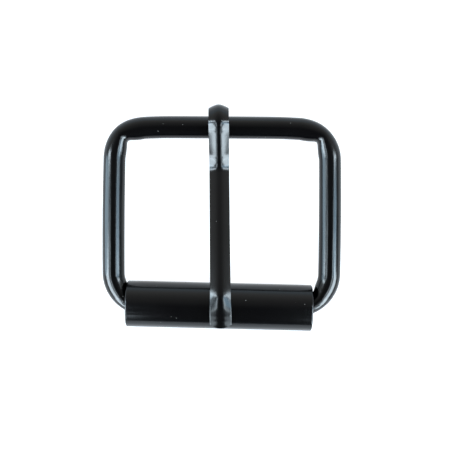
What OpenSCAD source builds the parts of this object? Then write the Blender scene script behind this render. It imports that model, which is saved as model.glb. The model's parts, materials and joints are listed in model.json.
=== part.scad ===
// Heel-bar roller buckle for a 38 mm strap.
// It lies on its back: +Z out of its face, +Y towards the heel bar, the floor at Z = 0.
// The tongue's eye goes round the heel bar and its tip rests on the roller.

/* [Frame] */
// Diameter of the frame wire with its paint
wire_d = 4.6; // [4:0.1:4.8]
// Clear width between the side bars
clear_w = 40; // [38:0.5:46]
// Distance from the heel bar's axis to the roller bar's axis
bar_pitch = 36.5; // [34:0.5:42]
// Radius of the bends beside the heel bar, at the wire's axis
heel_bend_r = 6.4; // [5:0.1:8]
// Radius of the bends beside the roller, at the wire's axis
roller_bend_r = 5.5; // [4.5:0.1:5.6]
// Gap between the wire's two ends, inside the roller
butt_gap = 0.4; // [0.1:0.1:1]

/* [Roller] */
// Outer diameter of the roller
roller_d = 9.5; // [9.3:0.1:10.5]
// Length of the roller
roller_l = 38; // [36:0.5:38]
// Thickness of the roller's wall
roller_wall = 0.85; // [0.6:0.05:0.9]
// Radius that rounds the rims of the roller
rim_r = 0.3; // [0.1:0.05:0.3]
// Width of the seam where the rolled strip meets
seam_w = 0.2; // [0.1:0.05:0.5]

/* [Tongue] */
// Width of the tongue
tongue_w = 4; // [3:0.1:5]
// Thickness of the tongue at its crown
tongue_t = 2.17; // [1.8:0.01:2.3]
// Height of the rounded crown over the tongue's straight edges
crown_rise = 1; // [0.5:0.1:1.2]
// Running clearance of the eye round the heel bar
eye_clearance = 0.1; // [0.05:0.01:0.3]
// Radius inside the top of the eye
eye_top_r = 1.73; // [1.5:0.01:2.3]
// Angle between the eye's tail and a line square to the shank
tail_angle = 13; // [13:1:60]
// Slope of the shank where it comes down from the eye
dip_slope = 40; // [35:1:45]
// Radius under the low bend of the shank
dip_r = 6; // [5:0.5:7]
// Slope of the shank where it climbs to the roller
climb_slope = 15; // [13:0.5:17]
// Radius under the crest before the roller
crest_r = 18; // [12:1:20]
// Slope left where the tip starts to follow the roller
crest_slope = 3; // [1:1:6]
// Gap between the resting tip and the roller
tip_gap = 0.15; // [0.05:0.01:0.3]
// Angle that the tip wraps past the top of the roller
tip_wrap = 41; // [30:1:45]

/* [Lie of the loose parts] */
// How far the roller lies along its bar, from the middle
roller_slip = -0.4; // [-0.4:0.1:0.4]
// How far the roller hangs away from the heel bar
roller_drop = 0.25; // [0:0.05:0.3]
// Turn of the roller in the plane of the buckle
roller_skew = -1; // [-1:0.5:1]
// How far the eye lies along the heel bar, from the middle
tongue_slip = -0.75; // [-5:0.25:5]
// Turn of the tongue in the plane of the buckle
tongue_skew = 1; // [-1:0.5:1]

/* [Hidden] */
$fn = 96;

paint = [0.08, 0.085, 0.095];
wire_r = wire_d / 2;
eye_r = wire_r + eye_clearance;
eye_out = eye_r + tongue_t;
roller_r = roller_d / 2;

// The roller's lowest line is on the floor, and the box's middle is over the origin.
mid_z = roller_r;
roller_run = bar_pitch + roller_drop;
heel_y = (roller_run + roller_r - eye_out) / 2;
roller_y = heel_y - roller_run;
side_x = (clear_w + wire_d) / 2;

// The tongue's flat inner face, in the plane of its bends: x runs from the heel bar to the
// roller, y is up, and the heel bar's axis is the origin.
eye_lift = (eye_r - eye_top_r) * (1 + sin(dip_slope)) / cos(dip_slope);
shank_start = [
    eye_top_r - eye_r + eye_top_r * sin(dip_slope),
    eye_lift + eye_top_r * cos(dip_slope)
];
tip_r = roller_r + tip_gap;
tip_start = [roller_run - tip_r * sin(crest_slope), tip_r * cos(crest_slope)];
dip_move = dip_r * [
    sin(dip_slope) + sin(climb_slope),
    cos(dip_slope) - cos(climb_slope)
];
crest_move = crest_r * [
    sin(climb_slope) - sin(crest_slope),
    cos(crest_slope) - cos(climb_slope)
];
// What the two straights of the shank have to cover between them, and so their lengths
left = tip_start - shank_start - dip_move - crest_move;
turn_all = dip_slope + climb_slope;
down_l = (left.x * sin(climb_slope) - left.y * cos(climb_slope)) / sin(turn_all);
up_l = (left.x * sin(dip_slope) + left.y * cos(dip_slope)) / sin(turn_all);

// Every second step of the tongue's wire runs on into its neighbours by the lap, and the
// others are drawn slimmer by the skin, so that each pair meets in a clean edge.
lap = 0.1;
skin = 0.02;

// Each step is [length, 0], or [radius at the flat face, turn]: a turn over 0 bends towards
// the flat face, and one under 0 bends towards the crown.
tongue_path = [
    [eye_r, 180 - tail_angle],
    [eye_lift, 0],
    [eye_top_r, 90 + dip_slope],
    [down_l, 0],
    [dip_r, -turn_all],
    [up_l, 0],
    [crest_r, climb_slope - crest_slope],
    [tip_r, crest_slope + tip_wrap]
];

// A quarter bend of wire from +X round to +Y, about the origin
module wire_bend(bend_r) {
    rotate_extrude(angle = 90) translate([bend_r, 0]) circle(r = wire_r);
}

// A straight of wire from the origin along +X
module wire_bar(length) {
    rotate([0, 90, 0]) cylinder(r = wire_r, h = length);
}

// Half of the frame, on the +X side, with the heel bar's axis on the X axis
module half_frame() {
    heel_bar = side_x - heel_bend_r;
    roller_bar = side_x - roller_bend_r;
    side_bar = bar_pitch - heel_bend_r - roller_bend_r;
    wire_bar(heel_bar);
    translate([heel_bar, -heel_bend_r, 0]) wire_bend(heel_bend_r);
    translate([side_x, -heel_bend_r, 0]) rotate([0, 0, -90]) wire_bar(side_bar);
    translate([roller_bar, roller_bend_r - bar_pitch, 0])
        rotate([0, 0, -90]) wire_bend(roller_bend_r);
    translate([butt_gap / 2, -bar_pitch, 0]) wire_bar(roller_bar - butt_gap / 2);
}

// One round wire, bent into a rectangle, its ends meeting inside the roller
module frame() {
    color(paint) translate([0, heel_y, mid_z]) {
        half_frame();
        mirror([1, 0, 0]) half_frame();
    }
}

// The wall of the roller, cut along its length: a strip with rounded corners
module roller_wall_section() {
    core_w = roller_wall - 2 * rim_r;
    core_l = roller_l - 2 * rim_r;
    translate([-roller_wall / 2, -core_l / 2]) square([roller_wall, core_l]);
    translate([-core_w / 2, -roller_l / 2]) square([core_w, roller_l]);
    for (side = [-1, 1], end = [-1, 1])
        translate([side * core_w / 2, end * core_l / 2]) circle(r = rim_r);
}

// A tube rolled from strip, loose on its bar, its seam turned to the back
module roller() {
    color(paint) translate([roller_slip, roller_y, mid_z])
        rotate([0, 0, roller_skew]) rotate([0, 90, 0]) difference() {
            rotate_extrude()
                translate([roller_r - roller_wall / 2, 0]) roller_wall_section();
            translate([roller_r, 0, 0])
                cube([2 * roller_wall + 2, seam_w, 2 * roller_l], center = true);
        }
}

// Half-round wire: its flat face on the Y axis, its crown towards +X
module tongue_section(slim) {
    arc_r = (pow(tongue_w / 2, 2) + pow(crown_rise, 2)) / (2 * crown_rise);
    intersection() {
        translate([slim, slim - tongue_w / 2])
            square([tongue_t - 2 * slim, tongue_w - 2 * slim]);
        translate([tongue_t - arc_r, 0]) circle(r = arc_r - slim);
    }
}

// The tongue's wire along a list of steps: it sets out along +X, its crown towards +Y
module follow(path, i = 0) {
    if (i < len(path)) {
        size = path[i][0];
        turn = path[i][1];
        slim = i % 2 == 0 ? skin : 0;
        if (turn == 0) {
            translate([-lap, 0, 0]) rotate([90, 0, 90])
                linear_extrude(size + 2 * lap) tongue_section(slim);
            translate([size, 0, 0]) follow(path, i + 1);
        } else if (turn > 0) {
            start = i % 2 == 0 ? 90 : 90 + lap / size * 180 / PI;
            translate([0, -size, 0]) {
                rotate([0, 0, 90 - turn]) rotate_extrude(angle = start + turn - 90)
                    translate([size, 0]) tongue_section(slim);
                rotate([0, 0, -turn]) translate([0, size, 0]) follow(path, i + 1);
            }
        } else {
            translate([0, size, 0]) {
                rotate([0, 0, -90]) rotate_extrude(angle = -turn)
                    translate([size, 0]) mirror([1, 0]) tongue_section(slim);
                rotate([0, 0, -turn]) translate([0, -size, 0]) follow(path, i + 1);
            }
        }
    }
}

// One length of half-round wire: eye, dipped shank, and a tip that hugs the roller
module tongue() {
    color(paint) translate([tongue_slip, heel_y, mid_z])
        rotate([0, 0, tongue_skew]) rotate([90, 0, -90])
            rotate([0, 0, -90 - tail_angle]) translate([0, eye_r, 0])
                follow(tongue_path);
}

frame();
roller();
tongue();
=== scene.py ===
import json
from math import asin, atan2, cos, exp, hypot, pi, radians, sin, tan

import bmesh
import bpy
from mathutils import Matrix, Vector


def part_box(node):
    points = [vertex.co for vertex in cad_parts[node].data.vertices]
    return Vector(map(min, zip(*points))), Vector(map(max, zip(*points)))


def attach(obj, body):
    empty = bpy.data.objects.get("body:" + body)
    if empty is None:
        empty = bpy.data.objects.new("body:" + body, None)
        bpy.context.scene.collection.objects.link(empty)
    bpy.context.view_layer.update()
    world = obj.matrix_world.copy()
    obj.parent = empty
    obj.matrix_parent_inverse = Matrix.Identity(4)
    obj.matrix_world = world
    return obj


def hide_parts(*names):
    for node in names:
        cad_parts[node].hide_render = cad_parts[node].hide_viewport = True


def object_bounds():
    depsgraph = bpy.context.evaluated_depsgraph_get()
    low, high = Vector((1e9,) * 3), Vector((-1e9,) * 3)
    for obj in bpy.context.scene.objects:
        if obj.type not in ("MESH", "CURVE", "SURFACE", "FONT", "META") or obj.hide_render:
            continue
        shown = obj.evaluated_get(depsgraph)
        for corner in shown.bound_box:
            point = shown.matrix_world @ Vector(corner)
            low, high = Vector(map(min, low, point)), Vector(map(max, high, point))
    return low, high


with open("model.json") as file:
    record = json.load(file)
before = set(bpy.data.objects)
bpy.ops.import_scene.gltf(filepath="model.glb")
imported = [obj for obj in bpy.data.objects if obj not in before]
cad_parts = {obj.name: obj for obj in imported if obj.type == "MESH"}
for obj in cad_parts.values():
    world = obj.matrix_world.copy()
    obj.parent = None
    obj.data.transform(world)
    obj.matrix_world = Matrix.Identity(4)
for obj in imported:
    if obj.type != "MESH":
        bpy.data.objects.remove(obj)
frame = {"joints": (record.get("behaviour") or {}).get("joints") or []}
cad_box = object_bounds()


# ---- Camera ------------------------------------------------------------------------------
# The buckle is seen from straight above, two hands' widths away, near the middle of the
# view and turned a little in it. heel is the middle of the heel bar.
joints = {joint["name"]: joint for joint in frame["joints"]}
heel = Vector(joints["tongue_swing"]["pos_m"])
eye_height = 0.180
eye_x, eye_y = 0.00067, -0.00164
eye_turn = radians(0.43)
view_width = 0.0928
sensor = 36
bpy.ops.object.camera_add(
    location=(eye_x, eye_y, heel.z + eye_height), rotation=(0, 0, eye_turn))
camera = bpy.context.object
camera.data.sensor_width = sensor
camera.data.lens = sensor * eye_height / view_width
camera.data.clip_start = 0.01
camera.data.clip_end = 10
bpy.context.scene.camera = camera
bpy.context.scene.view_settings.view_transform = "Standard"


# ---- Table -------------------------------------------------------------------------------
# A sheet of matt white acrylic lies under the buckle, far wider than it, and is lit from
# below so that it stays white in the shadows too.
class Value:
    """A socket of a shader tree. Sums and products of values add the Math nodes they need."""

    def __init__(self, tree, socket=None):
        self.tree = tree
        self.socket = socket

    def node(self, kind, settings, inputs, out=0):
        """Adds a node: first its settings, then the values or links of its sockets"""
        made = self.tree.nodes.new(kind)
        for name, value in settings.items():
            setattr(made, name, value)
        for name, value in inputs.items():
            if isinstance(value, Value):
                self.tree.links.new(value.socket, made.inputs[name])
            else:
                made.inputs[name].default_value = value
        return Value(self.tree, made.outputs[out])

    def maths(self, operation, *values):
        return self.node("ShaderNodeMath", {"operation": operation}, dict(enumerate(values)))

    def __add__(self, other):
        return self.maths("ADD", self, other)

    def __sub__(self, other):
        return self.maths("SUBTRACT", self, other)

    def __rsub__(self, other):
        return self.maths("SUBTRACT", other, self)

    def __mul__(self, other):
        return self.maths("MULTIPLY", self, other)

    def __pow__(self, other):
        return self.maths("POWER", self, other)

    __radd__ = __add__
    __rmul__ = __mul__

    def top(self, other):
        """The larger of the two"""
        return self.maths("MAXIMUM", self, other)

    def step(self, start, end):
        """0 before start, 1 after end, and a smooth slope between them"""
        spread = {"interpolation_type": "SMOOTHSTEP"}
        return self.node("ShaderNodeMapRange", spread, {0: self, 1: start, 2: end})

    def part(self, axis):
        """The X, Y or Z of a vector, for axis 0, 1 or 2"""
        return self.node("ShaderNodeSeparateXYZ", {}, {"Vector": self}, axis)

    def stretched(self, factors):
        return self.node("ShaderNodeVectorMath", {"operation": "MULTIPLY"}, {0: self, 1: factors})

    def noise(self, size, detail=2):
        """Cloudy noise, its largest blots about as wide as size"""
        inputs = {"Vector": self, "Scale": 1 / size, "Detail": detail}
        return self.node("ShaderNodeTexNoise", {}, inputs)

    def mixed(self, first, second):
        """first where this value is 0, second where it is 1"""
        return self.node("ShaderNodeMix", {"data_type": "RGBA"}, {0: self, 6: first, 7: second}, 2)


def new_material(name):
    material = bpy.data.materials.new(name)
    material.use_nodes = True
    tree = material.node_tree
    place = Value(tree).node("ShaderNodeTexCoord", {}, {}, "Object")
    return material, tree.nodes["Principled BSDF"], place


table_size = 12
grain_size = 0.0008
acrylic_dark = (0.13, 0.14, 0.15, 1)
acrylic_pale = (0.15, 0.16, 0.17, 1)
acrylic, finish, place = new_material("white_acrylic")
grain = place.noise(grain_size, 4).mixed(acrylic_dark, acrylic_pale)
finish.inputs["Roughness"].default_value = 0.9
finish.inputs["Specular IOR Level"].default_value = 0.1
finish.inputs["Emission Color"].default_value = (0.97, 0.98, 1, 1)
finish.inputs["Emission Strength"].default_value = 0.95
acrylic.node_tree.links.new(grain.socket, finish.inputs["Base Color"])
bpy.ops.mesh.primitive_plane_add(size=table_size, location=(0, 0, cad_box[0][2]))
table = bpy.context.object
table.name = "table"
table.data.materials.append(acrylic)


# ---- Light -------------------------------------------------------------------------------
# Soft boxes stand low on both sides of the table, and a pale wall behind the heel bar
# fades to a dim ceiling. The room in front of the roller stays dark.
dark_glow = 0.12
ceiling_glow = 0.34
wall_glow = 1.9
wall_fade = 0.8
wall_start, wall_end = -0.15, 0.35
blue_until = 0.5
blue_tint = (0.72, 0.88, 1, 1)
warm_tint = (1, 0.98, 0.94, 1)
world = bpy.data.worlds.new("studio")
bpy.context.scene.world = world
world.use_nodes = True
tree = world.node_tree
ray = Value(tree).node("ShaderNodeTexCoord", {}, {}, "Generated")
height = ray.part(2).top(0)
wall = ceiling_glow + wall_glow * (1 - height ** wall_fade)
toward_wall = ray.part(1).step(wall_start, wall_end)
glow = dark_glow * (1 - toward_wall) + wall * toward_wall
tint = height.step(0, blue_until).mixed(blue_tint, warm_tint)
backdrop = tree.nodes["Background"]
tree.links.new(tint.socket, backdrop.inputs["Color"])
tree.links.new(glow.socket, backdrop.inputs["Strength"])


def soft_box(name, side, azimuths, tilts, radiance, colour, distance=0.6):
    """A lit panel that faces the buckle. side is 1 for +X and -1 for -X, azimuths are counted
    from there towards +Y, and tilts from straight up."""
    turn, lean = (radians(sum(limits) / 2) for limits in (azimuths, tilts))
    aim = Vector((side * cos(turn) * sin(lean), sin(turn) * sin(lean), cos(lean)))
    bpy.ops.object.light_add(type="AREA", location=aim * distance)
    box = bpy.context.object
    box.name = name
    box.rotation_mode = "QUATERNION"
    box.rotation_quaternion = aim.to_track_quat("Z", "Y")
    box.data.shape = "RECTANGLE"
    box.data.size, box.data.size_y = (
        2 * distance * tan(radians(limits[1] - limits[0]) / 2) for limits in (azimuths, tilts))
    box.data.energy = radiance * pi * box.data.size * box.data.size_y
    box.data.color = colour
    box.visible_camera = False


white = (0.82, 0.93, 1)
pale_blue = (0.64, 0.85, 1)
deep_blue = (0.5, 0.78, 1)
soft_box("left_side", -1, (-9, 9), (51, 97), 11.5, pale_blue, distance=0.25)
soft_box("left_top", -1, (-7, 7), (30, 50), 1.6, pale_blue)
soft_box("right_side", 1, (-7, 3.5), (33, 63), 10.5, deep_blue)
for side, label in ((-1, "left"), (1, "right")):
    soft_box(label + "_strip", side, (9, 14), (38, 62), 34, white)
    soft_box(label + "_front", side, (-38, -7), (45, 76), 30, white)
    soft_box(label + "_corner", side, (-50, -38), (57, 88), 28, white)
    soft_box(label + "_low", side, (-61, -50), (73, 97), 27, white)
    soft_box(label + "_crest_haze", side, (-28, -8), (28, 35), 17, white)
    soft_box(label + "_haze", side, (-44, -31), (33, 43), 3, white)
    soft_box(label + "_low_haze", side, (-60, -46), (43, 60), 6, white)
    soft_box(label + "_tip_haze", side, (-70, -60), (58, 88), 8, white)


# ---- Frame -------------------------------------------------------------------------------
# One length of round steel wire, bent at four corners into a rectangle, its ends butting
# inside the roller. The bends are tight, so the tool pinched the inside of each corner.
frame_low, frame_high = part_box("frame")
wire_r = (frame_high.z - frame_low.z) / 2
side_x = frame_high.x - wire_r
bend_r = 0.0064
butt_gap = 0.0004
bar_y = {"roller": frame_low.y + wire_r, "heel": frame_high.y - wire_r}
ring_sides = 48
bend_steps = 24
bar_steps = 16
outer_r = bend_r + wire_r
hair = 1e-6
soft_edge = radians(40)


def deselect_all():
    bpy.ops.object.select_all(action="DESELECT")


def grow(shift, steps):
    """Extrudes the ring that is selected along shift, in equal steps"""
    for _ in range(steps):
        bpy.ops.mesh.extrude_region_move(
            TRANSFORM_OT_translate={"value": Vector(shift) / steps})


deselect_all()
bpy.ops.mesh.primitive_circle_add(
    vertices=ring_sides, radius=wire_r, rotation=(0, pi / 2, 0),
    location=(butt_gap / 2, bar_y["roller"], heel.z))
wire = bpy.context.object
wire.name = "frame_wire"
bpy.ops.object.transform_apply(location=True, rotation=True, scale=True)
bpy.ops.object.mode_set(mode="EDIT")
bpy.ops.mesh.select_all(action="SELECT")
bend_x = side_x - bend_r
lower_bend_y = bar_y["roller"] + bend_r
upper_bend_y = bar_y["heel"] - bend_r
grow((bend_x - butt_gap / 2, 0, 0), bar_steps)
bpy.ops.mesh.spin(
    steps=bend_steps, angle=-pi / 2, axis=(0, 0, 1), center=(bend_x, lower_bend_y, heel.z))
grow((0, upper_bend_y - lower_bend_y, 0), bar_steps)
bpy.ops.mesh.spin(
    steps=bend_steps, angle=-pi / 2, axis=(0, 0, 1), center=(bend_x, upper_bend_y, heel.z))
grow((-bend_x, 0, 0), bar_steps)
bpy.ops.object.mode_set(mode="OBJECT")
mirror = wire.modifiers.new("other_half", "MIRROR")
mirror.use_axis = (True, False, False)
mirror.merge_threshold = hair
bpy.ops.object.modifier_apply(modifier=mirror.name)

# Inside, the bends by the heel bar are folded nearly square, and those by the roller are
# dented. The left bend by the heel bar is a little fuller outside than the right one.
inner_r = bend_r - wire_r
swell = 0.0003
squareness = 16
roller_dent = 0.0008
dent_turn, dent_spread = radians(55), radians(16)
full_corner = 0.00022


def pinch(turn, at_heel):
    """How far the inside of a bend is pressed outwards, from the side bar at turn 0"""
    if at_heel:
        square = (cos(turn) ** squareness + sin(turn) ** squareness) ** (1 / squareness)
        return (inner_r - swell * sin(2 * turn)) / square - inner_r
    return roller_dent * exp(-(((turn - dent_turn) / dent_spread) ** 2))


# The side bars bow outwards, and the heel bar bows and sags a little before its bends
side_bow = 0.0002
heel_bow = 0.00008
sag = 0.00017
sag_x, sag_spread = 0.0175, 0.0035
half_side = (bar_y["heel"] - bar_y["roller"]) / 2
middle_y = (bar_y["heel"] + bar_y["roller"]) / 2
for vertex in wire.data.vertices:
    x, y = abs(vertex.co.x), vertex.co.y
    side = 1 if vertex.co.x >= 0 else -1
    for bend_y, up in ((upper_bend_y, 1), (lower_bend_y, -1)):
        across, along = x - bend_x, up * (y - bend_y)
        if across > 0 and along > 0:
            reach = hypot(across, along)
            turn = atan2(along, across)
            inside = (outer_r - reach) / (2 * wire_r)
            push = inside * pinch(turn, up == 1)
            if side < 0 and up > 0:
                push += (1 - inside) * full_corner * sin(2 * turn) ** 2
            longer = 1 + push / reach
            x = bend_x + across * longer
            y = bend_y + up * along * longer
    x -= side_bow * ((y - middle_y) / half_side) ** 2 * (x / side_x) ** 2
    if y > middle_y:
        y -= heel_bow * (x / side_x) ** 2
        y -= sag * exp(-(((x - sag_x) / sag_spread) ** 2))
    vertex.co.x, vertex.co.y = side * x, y

bpy.ops.object.mode_set(mode="EDIT")
bpy.ops.mesh.select_all(action="DESELECT")
bpy.ops.mesh.select_non_manifold()
bpy.ops.mesh.edge_face_add()
bpy.ops.mesh.select_all(action="SELECT")
bpy.ops.mesh.normals_make_consistent(inside=False)
bpy.ops.object.mode_set(mode="OBJECT")
bpy.ops.object.shade_smooth_by_angle(angle=soft_edge)


paint_ior = 1.33
paint_tint = (0.93, 0.97, 1, 1)
paint_dark = (0.0001, 0.0001, 0.0002, 1)
paint_pale = (0.0004, 0.0004, 0.0005, 1)
cloud_size = 0.006
ripple_size = 0.0007
fine_size = 0.00015
micron = 0.000001
# A cell of the paint holds one speck of dust at most, and about one cell in six has one
dust_cell = 0.001
speck_in, speck_out = 0.05, 0.09
bare_in, bare_out = 0.82, 0.84
dust_grey = (0.07, 0.07, 0.065, 1)
nick_size = 0.0003
nick_grey = (0.006, 0.006, 0.007, 1)


def black_paint(name, streaks, nicks=()):
    """Glossy black stove paint over steel: a slight ripple, cloudy gloss, dust and nicks.
    streaks gives the marks that show through at a place, and nicks are chipped places.
    The relief is counted in microns."""
    material, finish, place = new_material(name)
    links = material.node_tree.links
    clouds = place.noise(cloud_size, 3)
    ripple = place.noise(ripple_size)
    fine = place.noise(fine_size)
    marks = streaks(place)
    cell = {"Vector": place, "Scale": 1 / dust_cell, "Randomness": 1}
    near = place.node("ShaderNodeTexVoronoi", {}, cell, "Distance")
    pick = place.node("ShaderNodeTexVoronoi", {}, cell, "Color").part(0)
    dust = (1 - near.step(speck_in, speck_out)) * pick.step(bare_in, bare_out)
    colour = dust.mixed(clouds.mixed(paint_dark, paint_pale), dust_grey)
    rough = 0.12 + 0.05 * clouds + 0.03 * marks + 0.4 * dust
    relief = 4 * ripple + 0.8 * fine + 7 * marks + 3 * dust
    for spot in nicks:
        gap = place.node(
            "ShaderNodeVectorMath", {"operation": "DISTANCE"}, {0: place, 1: spot}, "Value")
        ragged = gap + nick_size / 3 * fine
        nick = 1 - ragged.step(nick_size / 2, nick_size)
        colour = nick.mixed(colour, nick_grey)
        rough = rough + 0.2 * nick
        relief = relief - 30 * nick
    bump = relief.node(
        "ShaderNodeBump", {}, {"Height": relief, "Distance": micron, "Strength": 1})
    finish.inputs["IOR"].default_value = paint_ior
    finish.inputs["Specular Tint"].default_value = paint_tint
    links.new(colour.socket, finish.inputs["Base Color"])
    links.new(rough.socket, finish.inputs["Roughness"])
    links.new(bump.socket, finish.inputs["Normal"])
    return material


streak_size = 0.0003
drawn_out = 0.06
cross_end, side_start = 0.0175, 0.0205


def wire_streaks(place):
    """Drawing marks along the wire: along Y on the side bars, along X on the cross bars"""
    across = place.part(0)
    on_side = across.maths("ABSOLUTE", across).step(cross_end, side_start)
    along_y = place.stretched((1, drawn_out, 1)).noise(streak_size)
    along_x = place.stretched((drawn_out, 1, 1)).noise(streak_size)
    return along_y * on_side + along_x * (1 - on_side)


side_bar_nick = (side_x - 0.00165, 0.0073, heel.z + 0.00225)
wire.data.materials.append(black_paint("frame_paint", wire_streaks, [side_bar_nick]))
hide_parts("frame")
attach(wire, "frame")


# ---- Roller ------------------------------------------------------------------------------
# A strip of steel rolled into a tube, its seam left open at the back. It hangs loose on
# the bar, a little askew, and its rims are rounded and catch the light.
roller_low, roller_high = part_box("roller")
roller_centre = Vector(joints["roller_spin"]["pos_m"])
roller_r = (roller_high.z - roller_low.z) / 2
roller_wall = 0.00085
roller_length = 0.038
rim_r = 0.0003
seam = 0.0002
roller_steps = 96
skew = asin(-joints["roller_spin"]["axis"][1])
seam_turn = seam / roller_r

deselect_all()
bpy.ops.mesh.primitive_plane_add(size=1, location=(0, 0, roller_r - roller_wall / 2))
tube = bpy.context.object
tube.name = "roller_tube"
tube.scale = (roller_length, roller_wall, 1)
tube.rotation_euler = (pi / 2, 0, 0)
bpy.ops.object.transform_apply(location=True, rotation=True, scale=True)
bpy.ops.object.mode_set(mode="EDIT")
bpy.ops.mesh.select_all(action="SELECT")
bpy.ops.mesh.bevel(offset=rim_r, segments=4, affect="VERTICES")
bpy.ops.mesh.select_all(action="SELECT")
bpy.ops.transform.rotate(
    value=pi + seam_turn / 2, orient_axis="X", center_override=(0, 0, 0))
bpy.ops.mesh.spin(
    steps=roller_steps, angle=2 * pi - seam_turn, axis=(1, 0, 0), center=(0, 0, 0))
bpy.ops.mesh.select_all(action="SELECT")
bpy.ops.mesh.normals_make_consistent(inside=False)
bpy.ops.object.mode_set(mode="OBJECT")
tube.rotation_euler = (0, 0, -skew)
tube.location = roller_centre
bpy.ops.object.transform_apply(location=True, rotation=True, scale=True)
bpy.ops.object.shade_smooth_by_angle(angle=soft_edge)


line_size = 0.0004


def rolling_marks(place):
    """Faint lines round the tube, left by the rolls"""
    return place.stretched((1, 0.08, 0.08)).noise(line_size)


tube.data.materials.append(black_paint("roller_paint", rolling_marks))
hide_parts("roller")
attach(tube, "roller")


# ---- Tongue ------------------------------------------------------------------------------
# Half-round steel wire, closed round the heel bar as an eye. The shank dips below the
# frame, climbs, and its hammered tip hugs the roller.
tongue_w = 0.004
tongue_t = 0.00217
stock_r = 0.0024
stock_sides = 128
crown_r = 0.0017
flank_slope = 0.58
corner_r = 0.0003
eye_r = wire_r + 0.0001
eye_top_r = 0.00173
tail = radians(13)
dip = radians(40)
dip_r = 0.006
climb = radians(15)
crest = radians(3)
crest_r = 0.018
tip_r = roller_r + 0.00015
# The tip ends three degrees short of the CAD solid's
tip_wrap = radians(38)
run = heel.y - roller_centre.y

# The two straights of the shank take up what the bends leave
eye_lift = (eye_r - eye_top_r) * (1 + sin(dip)) / cos(dip)
left_x = (run - tip_r * sin(crest) - (eye_top_r - eye_r + eye_top_r * sin(dip))
          - dip_r * (sin(dip) + sin(climb)) - crest_r * (sin(climb) - sin(crest)))
left_y = (tip_r * cos(crest) - (eye_lift + eye_top_r * cos(dip))
          - dip_r * (cos(dip) - cos(climb)) - crest_r * (cos(crest) - cos(climb)))
down = (left_x * sin(climb) - left_y * cos(climb)) / sin(dip + climb)
up = (left_x * sin(dip) + left_y * cos(dip)) / sin(dip + climb)


def crown_drop(x):
    """How far the crown has fallen at x from its middle: round on top, with straight flanks"""
    reach = crown_r * flank_slope
    return flank_slope * reach * ((1 + (x / reach) ** 2) ** 0.5 - 1)


deselect_all()
bpy.ops.mesh.primitive_circle_add(
    vertices=stock_sides, radius=stock_r, fill_type="NGON", rotation=(pi / 2, 0, 0),
    location=(0, 0, eye_r + tongue_t - stock_r))
bar = bpy.context.object
bar.name = "tongue_bar"
bpy.ops.object.transform_apply(location=True, rotation=True, scale=True)
for vertex in bar.data.vertices:
    if vertex.co.z > eye_r + tongue_t - stock_r:
        vertex.co.z = eye_r + tongue_t - crown_drop(vertex.co.x)
bpy.ops.object.mode_set(mode="EDIT")
for point, outwards in (
    ((tongue_w / 2, 0, 0), (1, 0, 0)),
    ((-tongue_w / 2, 0, 0), (-1, 0, 0)),
    ((0, 0, eye_r), (0, 0, -1)),
):
    bpy.ops.mesh.select_all(action="SELECT")
    bpy.ops.mesh.bisect(plane_co=point, plane_no=outwards, clear_outer=True, use_fill=False)
bpy.ops.object.mode_set(mode="OBJECT")
for vertex in bar.data.vertices:
    on_flat = abs(vertex.co.z - eye_r) < hair
    on_edge = abs(abs(vertex.co.x) - tongue_w / 2) < hair
    vertex.select = on_flat or on_edge
bpy.ops.object.mode_set(mode="EDIT")
bpy.ops.mesh.select_mode(type="VERT")
bpy.ops.mesh.bevel(offset=corner_r, segments=4, affect="VERTICES")
bpy.ops.mesh.select_all(action="SELECT")
bpy.ops.mesh.delete(type="ONLY_FACE")
bpy.ops.mesh.select_all(action="SELECT")

spot = Vector((0, 0, eye_r))
aim = 0.0


def go_straight(length, steps):
    """A straight of the wire, in the way that its last ring faces"""
    global spot
    way = Vector((0, cos(aim), sin(aim)))
    grow(way * length, steps)
    spot = spot + way * length


def go_round(radius, turn, steps):
    """A bend about an axis along X: turn over 0 closes towards the flat face"""
    global spot, aim
    flat_side = Vector((0, sin(aim), -cos(aim)))
    centre = spot + flat_side * (radius if turn > 0 else -radius)
    bpy.ops.mesh.spin(steps=steps, angle=turn, axis=(1, 0, 0), center=centre)
    aim -= turn
    new_side = Vector((0, sin(aim), -cos(aim)))
    spot = centre - new_side * (radius if turn > 0 else -radius)
    return centre


go_round(eye_r, pi - tail, steps=40)
go_straight(eye_lift, steps=4)
go_round(eye_top_r, pi / 2 + dip, steps=30)
go_straight(down, steps=10)
go_round(dip_r, -dip - climb, steps=20)
go_straight(up, steps=30)

# From the crest on, the wire is hammered flatter and wider
edge_h = tongue_t - crown_drop(tongue_w / 2)
flatter, wider = 0.955, 1.0025
blows = 7


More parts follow.
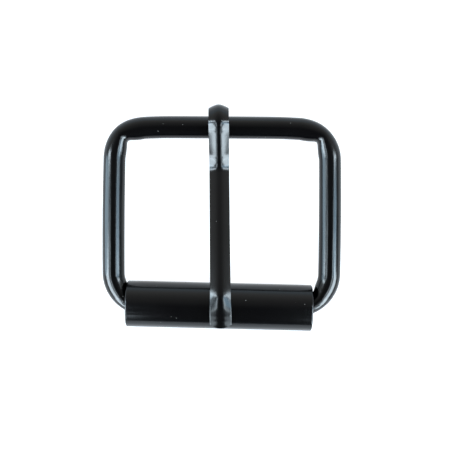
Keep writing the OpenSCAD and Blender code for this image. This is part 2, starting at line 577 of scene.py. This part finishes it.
def hammer():
    """Presses the crown of the newest ring towards its edges, and spreads it"""
    mesh = bmesh.from_edit_mesh(bar.data)
    upwards = Vector((0, -sin(aim), cos(aim)))
    for vertex in mesh.verts:
        if vertex.select:
            over = max(0, (vertex.co - spot).dot(upwards) - edge_h)
            vertex.co -= upwards * over * (1 - flatter)
            vertex.co.x *= wider
    bmesh.update_edit_mesh(bar.data)


half_crest = (climb - crest) / 2
go_round(crest_r, half_crest, steps=6)
for _ in range(blows):
    go_round(crest_r, half_crest / blows, steps=1)
    hammer()
quarter_wrap = (crest + tip_wrap) / 4
for _ in range(blows):
    go_round(tip_r, quarter_wrap / blows, steps=1)
    hammer()
tip_centre = go_round(tip_r, 3 * quarter_wrap, steps=21)
bpy.ops.object.mode_set(mode="OBJECT")

# The end of the tip is rounded: its two corners are drawn back along the wrap
end_round = 0.0005
last_ring = -0.01
for vertex in bar.data.vertices:
    offset = vertex.co - tip_centre
    way = atan2(offset.z, offset.y)
    from_end = (way - aim + pi / 2) % (2 * pi) - pi
    if last_ring < from_end < quarter_wrap:
        share = 1 - max(0, from_end) / quarter_wrap
        back = end_round / tip_r * (vertex.co.x / (tongue_w / 2)) ** 2 * share ** 2
        vertex.co.y = tip_centre.y + offset.y * cos(back) - offset.z * sin(back)
        vertex.co.z = tip_centre.z + offset.y * sin(back) + offset.z * cos(back)

bpy.ops.object.mode_set(mode="EDIT")
bpy.ops.mesh.select_all(action="DESELECT")
bpy.ops.mesh.select_non_manifold()
bpy.ops.mesh.edge_face_add()
bpy.ops.mesh.select_all(action="SELECT")
bpy.ops.mesh.normals_make_consistent(inside=False)
bpy.ops.object.mode_set(mode="OBJECT")
swing_axis = joints["tongue_swing"]["axis"]
tongue_skew = atan2(swing_axis[1], swing_axis[0]) - pi
bar.rotation_euler = (-pi / 2 - tail, 0, pi + tongue_skew)
bar.location = heel
bpy.ops.object.transform_apply(location=True, rotation=True, scale=True)
bpy.ops.object.shade_smooth_by_angle(angle=soft_edge)


def shank_streaks(place):
    """Drawing marks along the tongue"""
    return place.stretched((1, drawn_out, 0.3)).noise(streak_size)


eye_nick = (-0.0017, 0.0168, 0.0102)
bar.data.materials.append(black_paint("tongue_paint", shank_streaks, [eye_nick]))
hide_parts("tongue")
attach(bar, "tongue")
